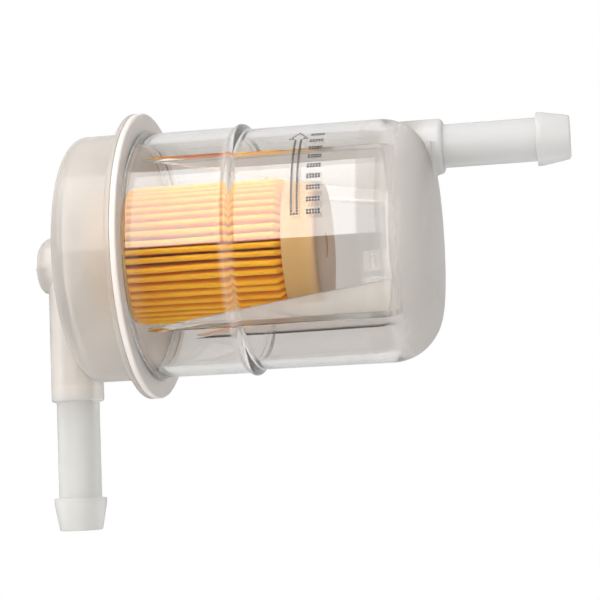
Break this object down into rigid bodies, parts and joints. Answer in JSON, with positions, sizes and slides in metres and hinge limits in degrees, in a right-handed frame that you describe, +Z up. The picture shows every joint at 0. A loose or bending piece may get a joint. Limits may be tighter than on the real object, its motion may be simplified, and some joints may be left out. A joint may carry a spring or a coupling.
{
  "type": "fuel filter",
  "caption": "In-line fuel filter: clear plastic bowl welded to a milky cap, pleated paper element inside, elbow hose spigot on the cap and straight offset spigot on the bowl.",
  "frame": {"origin": "on the filter's axis, in the weld plane between the two flanges, which is the middle of the flange rim", "axes": "+X along the filter's axis from the cap into the bowl, and the way the straight spigot points; +Z up, with the straight spigot above the axis and the elbow pointing down; +Y follows by the right hand"},
  "size_m": [0.1032, 0.055, 0.0795],
  "materials": {
    "clear_nylon": "clear, glossy, faintly grey",
    "milky_nylon": "milky translucent, soft gloss",
    "paper": "matt resin-treated filter paper",
    "adhesive": "cured adhesive",
    "white_plastic": "moulded",
    "end_cap_plastic": "milky translucent",
    "seal_rubber": "black rubber"
  },
  "bodies": {
    "root": {"bowl": "clear_nylon", "cap": "milky_nylon", "filter_paper": "paper", "paper_seam": "adhesive", "centre_tube": "white_plastic", "closed_end_cup": "end_cap_plastic", "closed_end_potting": "adhesive", "open_end_cap": "end_cap_plastic", "open_end_potting": "adhesive", "nozzle_seal": "seal_rubber"}
  },
  "joints": []
}
